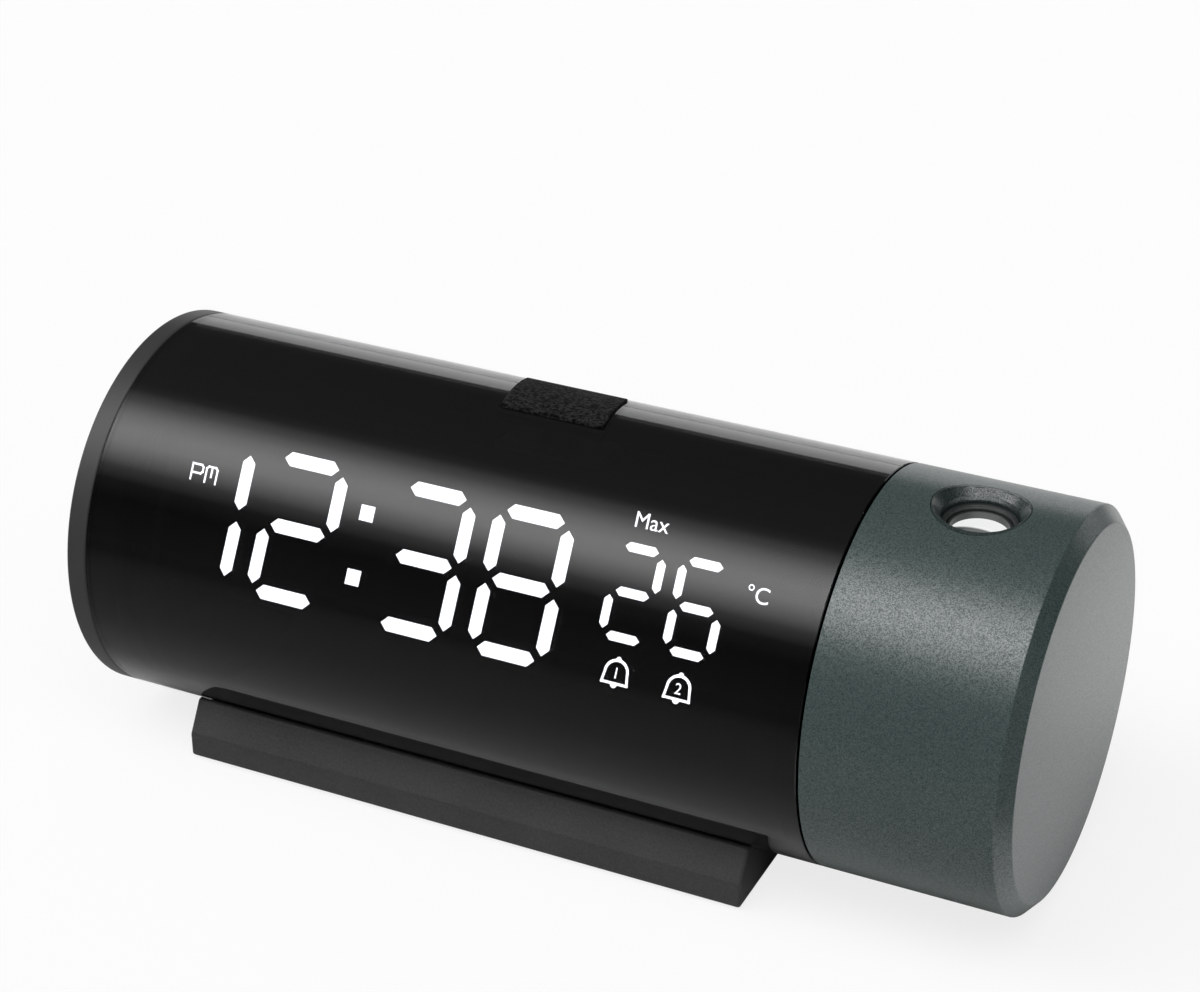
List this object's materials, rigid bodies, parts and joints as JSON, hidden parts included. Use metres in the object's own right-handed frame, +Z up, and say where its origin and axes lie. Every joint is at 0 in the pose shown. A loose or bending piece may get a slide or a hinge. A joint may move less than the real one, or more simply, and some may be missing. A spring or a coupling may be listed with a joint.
{
  "type": "projection alarm clock",
  "caption": "Cylindrical digital alarm clock lying on a low foot, with a tilted light-bar display behind a dark glossy cover and a turning projector head at one end.",
  "frame": {"origin": "on the table, under the middle of the clock", "axes": "+X along the tube towards the projector head, -Y to the front, where the display faces, +Z up"},
  "size_m": [0.17, 0.068, 0.0705],
  "materials": {
    "cover_gloss": "tinted smoke polycarbonate, polished",
    "housing_black": "fine moulded texture",
    "cone_black": "pressed paper, matte",
    "steel": "plain",
    "frame_grey": "moulded",
    "mask_black": "matte black",
    "segment_lit": "white light-spreading resin, lit",
    "segment_dark": "light-spreading resin, unlit",
    "circuit_green": "solder mask",
    "snooze_rubber": "grained, matte",
    "switch_black": "moulded",
    "key_black": "satin",
    "head_green": "fine-grained metallic grey-green paint",
    "bezel_green": "fine-grained metallic grey-green paint, darker",
    "aluminium": "sawn",
    "lens_glass": "polished",
    "slide_glass": "dark picture slide",
    "foot_black": "fine moulded texture",
    "pad_rubber": "matte"
  },
  "bodies": {
    "clock_body": {"backup_cell": "steel", "bearing_bulkhead": "frame_grey", "board_parts": "switch_black", "cell_contact": "steel", "cell_door": "housing_black", "cell_holder": "frame_grey", "dark_segments": "segment_dark", "display_board": "circuit_green", "display_carrier": "frame_grey", "display_cover": "cover_gloss", "display_lights": "segment_dark", "display_mask": "mask_black", "foot": "foot_black", "foot_pads": "pad_rubber", "foot_screws": "steel", "friction_washer": "steel", "housing_screws": "steel", "inlet_board": "circuit_green", "key_board": "circuit_green", "key_switches": "switch_black", "left_bulkhead": "frame_grey", "left_end_cap": "housing_black", "lit_segments": "segment_lit", "main_board": "circuit_green", "power_inlet": "steel", "rear_housing": "housing_black", "retaining_ring": "steel", "snooze_board": "circuit_green", "snooze_switch": "switch_black", "speaker_basket": "steel", "speaker_cone": "cone_black", "speaker_magnet": "steel", "top_rail": "frame_grey"},
    "projector_head": {"head_shell": "head_green", "head_collar": "frame_grey", "head_screws": "steel", "lens_bezel": "bezel_green", "optics_frame": "frame_grey", "light_board": "circuit_green", "light_chip": "segment_dark", "heat_sink": "aluminium", "condenser_lens": "lens_glass", "picture_slide": "slide_glass"},
    "focus_ring": {"focus_ring": "mask_black"},
    "lens_barrel": {"lens_barrel": "mask_black", "projection_lens": "lens_glass"},
    "snooze_pad": {"snooze_pad": "snooze_rubber"},
    "mode_key": {"mode_key": "key_black"},
    "minus_key": {"minus_key": "key_black"},
    "plus_key": {"plus_key": "key_black"},
    "alarm_key": {"alarm_key": "key_black"},
    "projector_key": {"projector_key": "key_black"}
  },
  "joints": [
    {"name": "head_turn", "type": "hinge", "parent": "clock_body", "child": "projector_head", "pos_m": [0.0518, 0, 0.036], "axis": [1, 0, 0], "range_deg": [-90, 90]},
    {"name": "focus_turn", "type": "hinge", "parent": "projector_head", "child": "focus_ring", "pos_m": [0.0669, 0, 0.064], "axis": [0, 0, 1], "range_deg": [-60, 60]},
    {"name": "barrel_slide", "type": "slide", "parent": "projector_head", "child": "lens_barrel", "axis": [0, 0, 1], "range_m": [-0.0008, 0.0008]},
    {"name": "snooze_press", "type": "slide", "parent": "clock_body", "child": "snooze_pad", "axis": [0, -0.1633, -0.9866], "range_m": [0, 0.0006], "stiffness_N_per_m": 900, "springref_m": -0.0008},
    {"name": "mode_key_press", "type": "slide", "parent": "clock_body", "child": "mode_key", "axis": [0, -0.8829, -0.4695], "range_m": [0, 0.0005], "stiffness_N_per_m": 700, "springref_m": -0.0008},
    {"name": "minus_key_press", "type": "slide", "parent": "clock_body", "child": "minus_key", "axis": [0, -0.8829, -0.4695], "range_m": [0, 0.0005], "stiffness_N_per_m": 700, "springref_m": -0.0008},
    {"name": "plus_key_press", "type": "slide", "parent": "clock_body", "child": "plus_key", "axis": [0, -0.8829, -0.4695], "range_m": [0, 0.0005], "stiffness_N_per_m": 700, "springref_m": -0.0008},
    {"name": "alarm_key_press", "type": "slide", "parent": "clock_body", "child": "alarm_key", "axis": [0, -0.8829, -0.4695], "range_m": [0, 0.0005], "stiffness_N_per_m": 700, "springref_m": -0.0008},
    {"name": "projector_key_press", "type": "slide", "parent": "clock_body", "child": "projector_key", "axis": [0, -0.8829, -0.4695], "range_m": [0, 0.0005], "stiffness_N_per_m": 700, "springref_m": -0.0008}
  ],
  "couplings": [
    {"joint": "focus_turn", "follows": "barrel_slide", "rad_per_m": 1309}
  ]
}
